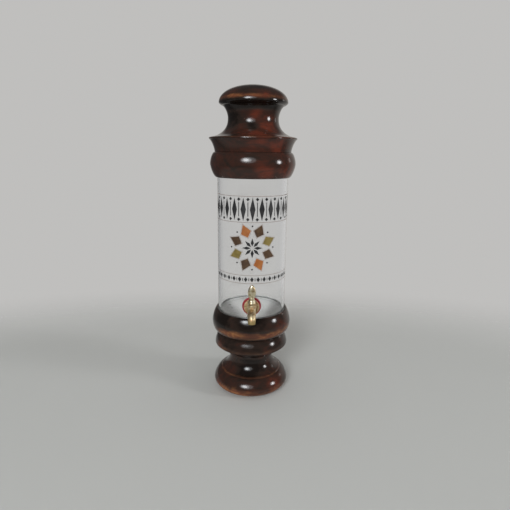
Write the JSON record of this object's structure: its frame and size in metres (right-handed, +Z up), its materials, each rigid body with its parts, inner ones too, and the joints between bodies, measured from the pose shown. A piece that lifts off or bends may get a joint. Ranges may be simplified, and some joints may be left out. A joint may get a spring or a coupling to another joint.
{
  "type": "decanter with tap",
  "caption": "Upright glass jar between turned wooden ends, with a lift-off wooden cap and a small brass tap low on its front.",
  "frame": {"origin": "centre of the felt face that the foot stands on", "axes": "+Z up the middle of the jar, tap pointing towards -Y, +X to the right seen from the front"},
  "size_m": [0.1102, 0.1406, 0.3972],
  "materials": {
    "stained_wood": "dark red-brown stain under gloss lacquer",
    "plug_wood": "plain turned wood, oiled",
    "clear_glass": "clear polished",
    "brass": "cast and polished, slightly worn",
    "steel": "zinc plated",
    "red_rubber": "smooth red",
    "black_rubber": "smooth black",
    "cork": "pressed cork",
    "green_felt": "pressed felt",
    "pale_felt": "pressed felt"
  },
  "bodies": {
    "stand": {"foot_felt": "green_felt", "base_foot": "stained_wood", "base_screw": "steel", "base_screw_washer": "steel", "base_cup": "stained_wood", "glass_pad": "pale_felt", "glass_jar": "clear_glass", "tap_body": "brass", "tap_washer_outer": "red_rubber", "tap_washer_inner": "red_rubber", "tap_nut_washer": "brass", "tap_nut": "brass"},
    "cap": {"cap_collar": "stained_wood", "cap_knob": "stained_wood", "cap_gasket": "cork", "cap_plug": "plug_wood", "cap_seal": "black_rubber", "plug_screw_1": "brass", "plug_screw_2": "brass", "plug_screw_3": "brass"},
    "key": {"tap_key": "brass", "tap_key_washer": "brass", "tap_key_screw": "brass"}
  },
  "joints": [
    {"name": "cap_lift", "type": "slide", "parent": "stand", "child": "cap", "axis": [0, 0, 1], "range_m": [0, 0.06]},
    {"name": "tap_turn", "type": "hinge", "parent": "stand", "child": "key", "pos_m": [0, -0.066, 0.131], "axis": [0, 0, 1], "range_deg": [0, 90]}
  ]
}
